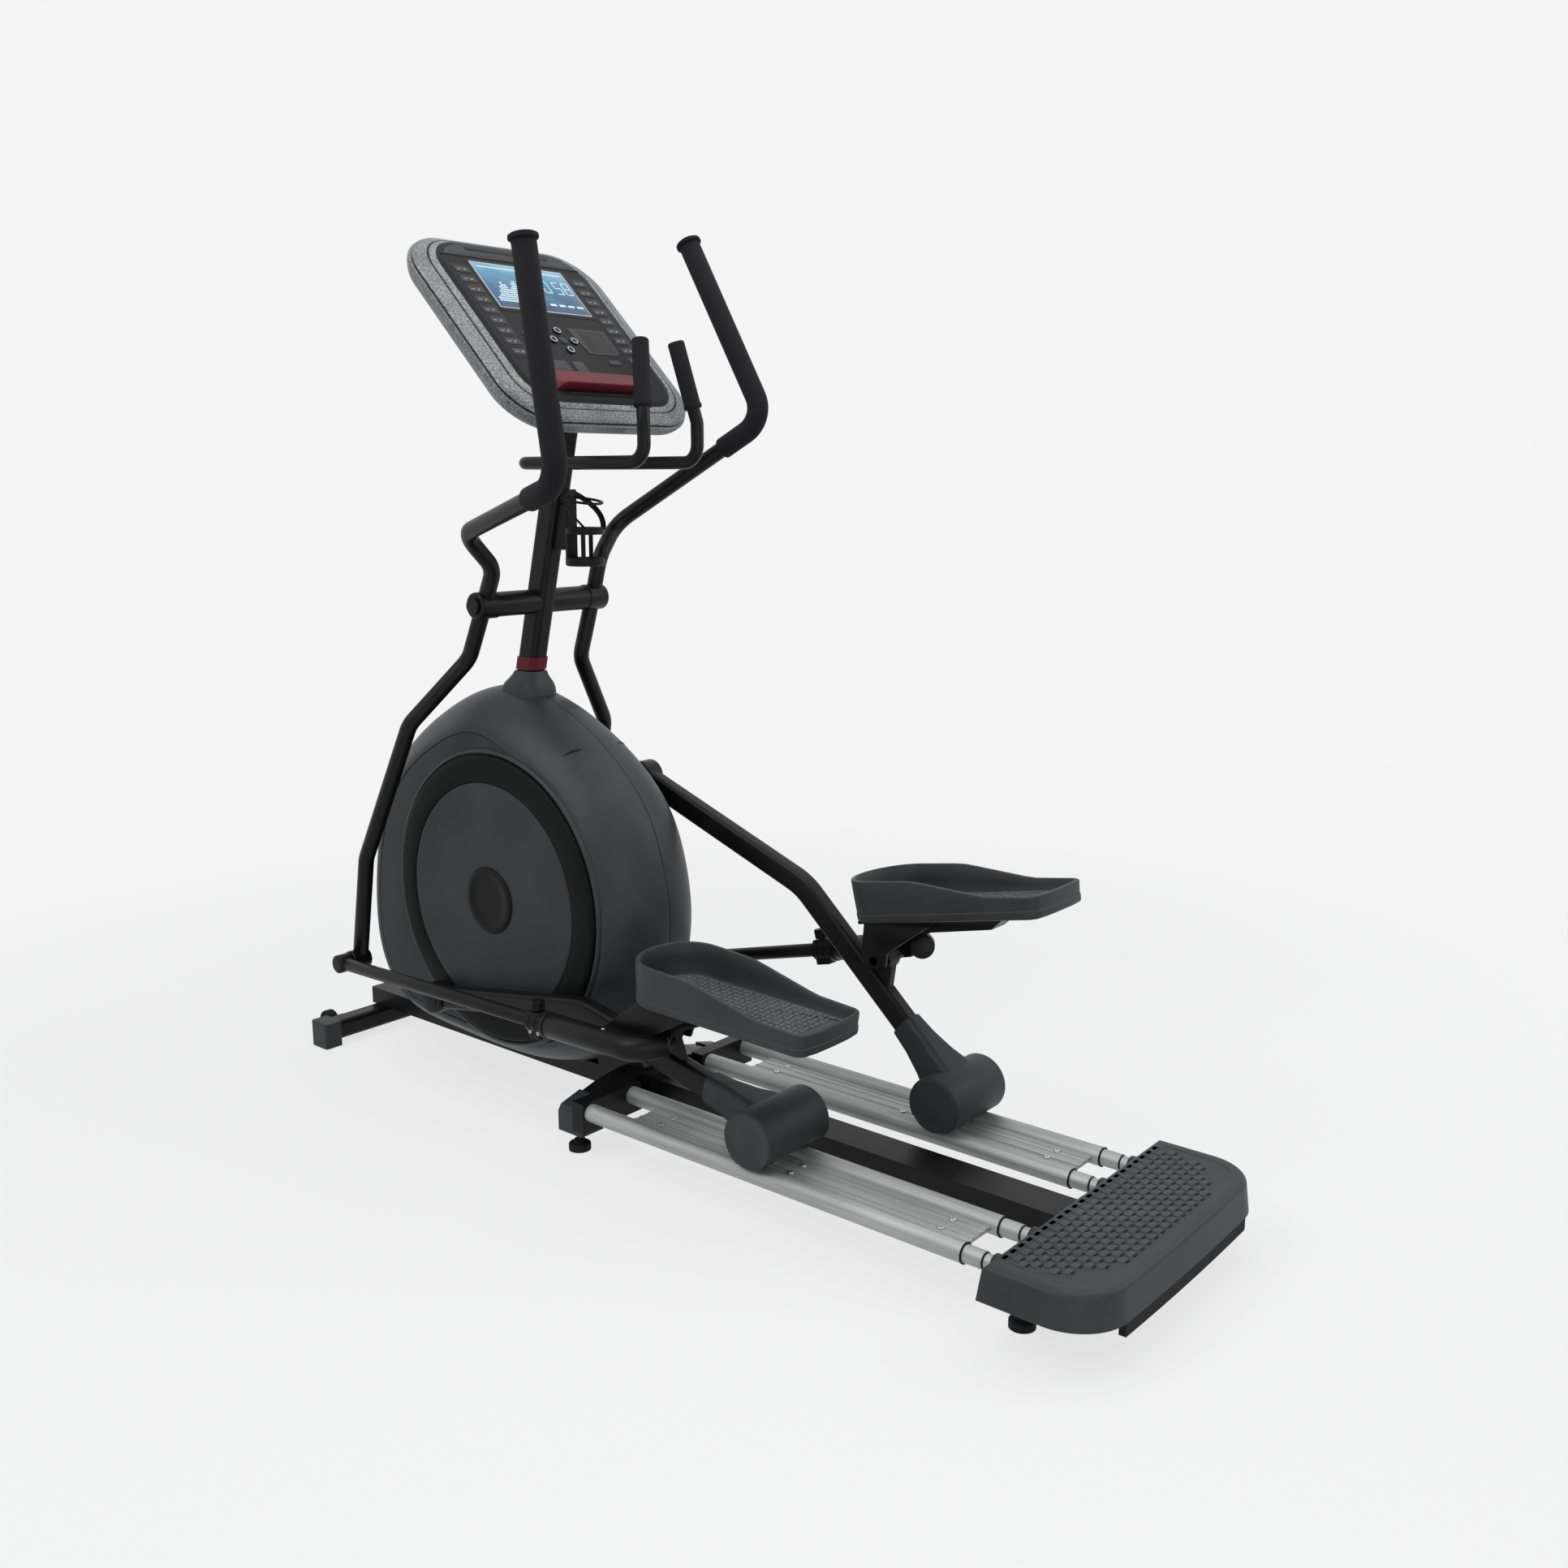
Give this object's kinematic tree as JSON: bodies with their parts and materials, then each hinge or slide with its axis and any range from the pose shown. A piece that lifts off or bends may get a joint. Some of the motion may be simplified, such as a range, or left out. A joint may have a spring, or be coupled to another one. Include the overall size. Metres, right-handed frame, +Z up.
{
  "type": "elliptical trainer",
  "caption": "Front-drive elliptical trainer: shrouded crank, sliding pedal arms on double rails, swinging handle arms, tilted console, rear step.",
  "frame": {"origin": "on the floor, under the middle of the machine's bounding box", "axes": "+X to the rear step, +Y to the user's right, +Z up"},
  "size_m": [2.1499, 0.7098, 1.7981],
  "materials": {
    "frame_black": "semi-gloss black powder coat",
    "shroud_plastic": "matte charcoal",
    "step_plastic": "matte dark grey",
    "tread_rubber": "matt, patterned tread",
    "foam": "matt closed-cell foam",
    "band_red": "satin dark red",
    "rail_aluminium": "satin",
    "screw_steel": "satin",
    "bright_steel": "satin",
    "flywheel_iron": "turned",
    "pulley_plastic": "moulded",
    "belt_rubber": "ribbed",
    "roller_urethane": "smooth",
    "wheel_rubber": "smooth",
    "foot_rubber": "matt",
    "console_grey": "speckled silver grey",
    "console_charcoal": "fine matt",
    "screen_glass": "gloss blue display",
    "key_plastic": "satin with pale ring",
    "key_red": "dark red",
    "knob_plastic": "moulded",
    "cage_plastic": "matt black"
  },
  "bodies": {
    "frame": {"main_frame": "frame_black", "crank_bearings": "bright_steel", "upright_post": "frame_black", "post_band": "band_red", "swing_axle": "bright_steel", "front_stabilizer": "frame_black", "frame_end_caps": "step_plastic", "rails": "rail_aluminium", "rail_screws": "screw_steel", "rear_frame": "frame_black", "step_platform": "step_plastic", "step_bumper": "tread_rubber", "shroud_left": "shroud_plastic", "shroud_right": "shroud_plastic", "shroud_collar": "shroud_plastic", "drive_belt": "belt_rubber", "brake_coil": "bright_steel", "console_face": "console_charcoal", "console_back": "console_grey", "console_screen": "screen_glass", "fixed_handlebar": "frame_black", "fixed_grips": "foam", "bottle_cage": "cage_plastic"},
    "crank": {"crank_set": "bright_steel", "crank_discs": "shroud_plastic", "drive_pulley": "pulley_plastic"},
    "flywheel": {"flywheel": "flywheel_iron"},
    "carriage_left": {"carriage_axle_left": "bright_steel"},
    "rollers_left": {"rollers_left": "roller_urethane"},
    "pedal_arm_left": {"pedal_arm_left": "frame_black", "roller_cover_left": "step_plastic"},
    "pedal_left": {"pedal_frame_left": "frame_black", "link_tube_left": "frame_black", "foot_pedal_left": "step_plastic", "pedal_mat_left": "tread_rubber"},
    "knob_left": {"angle_knob_left": "knob_plastic"},
    "swing_arm_left": {"swing_arm_left": "frame_black", "swing_grip_left": "foam"},
    "transport_wheel_left": {"transport_wheel_left": "wheel_rubber"},
    "carriage_right": {"carriage_axle_right": "bright_steel"},
    "rollers_right": {"rollers_right": "roller_urethane"},
    "pedal_arm_right": {"pedal_arm_right": "frame_black", "roller_cover_right": "step_plastic"},
    "pedal_right": {"pedal_frame_right": "frame_black", "link_tube_right": "frame_black", "foot_pedal_right": "step_plastic", "pedal_mat_right": "tread_rubber"},
    "knob_right": {"angle_knob_right": "knob_plastic"},
    "swing_arm_right": {"swing_arm_right": "frame_black", "swing_grip_right": "foam"},
    "transport_wheel_right": {"transport_wheel_right": "wheel_rubber"},
    "key_down": {"key_down": "key_plastic"},
    "key_left": {"key_left": "key_plastic"},
    "key_right": {"key_right": "key_plastic"},
    "key_stop": {"key_stop": "key_red"},
    "key_up": {"key_up": "key_plastic"},
    "levelling_foot_mid_left": {"levelling_foot_mid_left": "foot_rubber"},
    "levelling_foot_mid_right": {"levelling_foot_mid_right": "foot_rubber"},
    "levelling_foot_rear_left": {"levelling_foot_rear_left": "foot_rubber"},
    "levelling_foot_rear_right": {"levelling_foot_rear_right": "foot_rubber"}
  },
  "joints": [
    {"name": "flywheel_spin", "type": "hinge", "parent": "frame", "child": "flywheel", "pos_m": [-0.745, 0, 0.36], "axis": [0, 1, 0], "continuous": true},
    {"name": "crank_spin", "type": "hinge", "parent": "frame", "child": "crank", "pos_m": [-0.443, 0, 0.438], "axis": [0, 1, 0], "continuous": true},
    {"name": "stride_left", "type": "slide", "parent": "frame", "child": "carriage_left", "axis": [1, 0, 0], "range_m": [-0.1848, 0.4078]},
    {"name": "roller_spin_left", "type": "hinge", "parent": "carriage_left", "child": "rollers_left", "pos_m": [0.3588, 0, 0.1678], "axis": [0, 1, 0], "continuous": true},
    {"name": "arm_tilt_left", "type": "hinge", "parent": "carriage_left", "child": "pedal_arm_left", "pos_m": [0.3588, 0, 0.1678], "axis": [0, -1, 0], "range_deg": [-33.3, 2.7]},
    {"name": "pedal_tilt_left", "type": "hinge", "parent": "pedal_arm_left", "child": "pedal_left", "pos_m": [0.09314, 0, 0.28399], "axis": [0, -1, 0], "range_deg": [-3.7, 45]},
    {"name": "knob_turn_left", "type": "hinge", "parent": "pedal_left", "child": "knob_left", "pos_m": [-0.14857, -0.276, 0.3125], "axis": [-0.0227, 0, 0.9997], "continuous": true},
    {"name": "swing_left", "type": "hinge", "parent": "frame", "child": "swing_arm_left", "pos_m": [-0.418, 0, 1.053], "axis": [0, -1, 0], "range_deg": [-12.8, 30.4]},
    {"name": "wheel_spin_left", "type": "hinge", "parent": "frame", "child": "transport_wheel_left", "pos_m": [-1.049, -0.146, 0.034], "axis": [0, 1, 0], "continuous": true},
    {"name": "stride_right", "type": "slide", "parent": "frame", "child": "carriage_right", "axis": [1, 0, 0], "range_m": [-0.3479, 0.2448]},
    {"name": "roller_spin_right", "type": "hinge", "parent": "carriage_right", "child": "rollers_right", "pos_m": [0.52187, 0, 0.1678], "axis": [0, 1, 0], "continuous": true},
    {"name": "arm_tilt_right", "type": "hinge", "parent": "carriage_right", "child": "pedal_arm_right", "pos_m": [0.52187, 0, 0.1678], "axis": [0, -1, 0], "range_deg": [-3.2, 32.8]},
    {"name": "pedal_tilt_right", "type": "hinge", "parent": "pedal_arm_right", "child": "pedal_right", "pos_m": [0.35021, 0, 0.4015], "axis": [0, -1, 0], "range_deg": [-43.6, 3.6]},
    {"name": "knob_turn_right", "type": "hinge", "parent": "pedal_right", "child": "knob_right", "pos_m": [0.10821, 0.276, 0.37559], "axis": [-0.2443, 0, 0.9697], "continuous": true},
    {"name": "swing_right", "type": "hinge", "parent": "frame", "child": "swing_arm_right", "pos_m": [-0.418, 0, 1.053], "axis": [0, -1, 0], "range_deg": [-29.4, 12.9]},
    {"name": "wheel_spin_right", "type": "hinge", "parent": "frame", "child": "transport_wheel_right", "pos_m": [-1.049, 0.146, 0.034], "axis": [0, 1, 0], "continuous": true},
    {"name": "foot_turn_mid_left", "type": "hinge", "parent": "frame", "child": "levelling_foot_mid_left", "pos_m": [-0.12, -0.203, 0], "axis": [0, 0, 1], "continuous": true},
    {"name": "foot_turn_mid_right", "type": "hinge", "parent": "frame", "child": "levelling_foot_mid_right", "pos_m": [-0.12, 0.203, 0], "axis": [0, 0, 1], "continuous": true},
    {"name": "foot_turn_rear_left", "type": "hinge", "parent": "frame", "child": "levelling_foot_rear_left", "pos_m": [0.891, -0.207, 0], "axis": [0, 0, 1], "continuous": true},
    {"name": "foot_turn_rear_right", "type": "hinge", "parent": "frame", "child": "levelling_foot_rear_right", "pos_m": [0.891, 0.207, 0], "axis": [0, 0, 1], "continuous": true},
    {"name": "press_up", "type": "slide", "parent": "frame", "child": "key_up", "axis": [-0.7071, 0, -0.7071], "range_m": [0, 0.0015], "stiffness_N_per_m": 400},
    {"name": "press_down", "type": "slide", "parent": "frame", "child": "key_down", "axis": [-0.7071, 0, -0.7071], "range_m": [0, 0.0015], "stiffness_N_per_m": 400},
    {"name": "press_left", "type": "slide", "parent": "frame", "child": "key_left", "axis": [-0.7071, 0, -0.7071], "range_m": [0, 0.0015], "stiffness_N_per_m": 400},
    {"name": "press_right", "type": "slide", "parent": "frame", "child": "key_right", "axis": [-0.7071, 0, -0.7071], "range_m": [0, 0.0015], "stiffness_N_per_m": 400},
    {"name": "press_stop", "type": "slide", "parent": "frame", "child": "key_stop", "axis": [-0.7071, 0, -0.7071], "range_m": [0, 0.0015], "stiffness_N_per_m": 400}
  ],
  "couplings": [
    {"joint": "crank_spin", "follows": "flywheel_spin", "ratio": 0.14},
    {"joint": "stride_right", "follows": "stride_left", "ratio": -0.853},
    {"joint": "roller_spin_left", "follows": "stride_left", "rad_per_m": 20},
    {"joint": "roller_spin_right", "follows": "stride_left", "rad_per_m": -17.06},
    {"joint": "swing_left", "follows": "stride_left", "rad_per_m": 1.19},
    {"joint": "swing_right", "follows": "stride_left", "rad_per_m": -1.0151},
    {"joint": "arm_tilt_right", "follows": "arm_tilt_left", "ratio": -0.98},
    {"joint": "pedal_tilt_left", "follows": "arm_tilt_left", "ratio": -1.31},
    {"joint": "pedal_tilt_right", "follows": "arm_tilt_left", "ratio": 1.3}
  ]
}
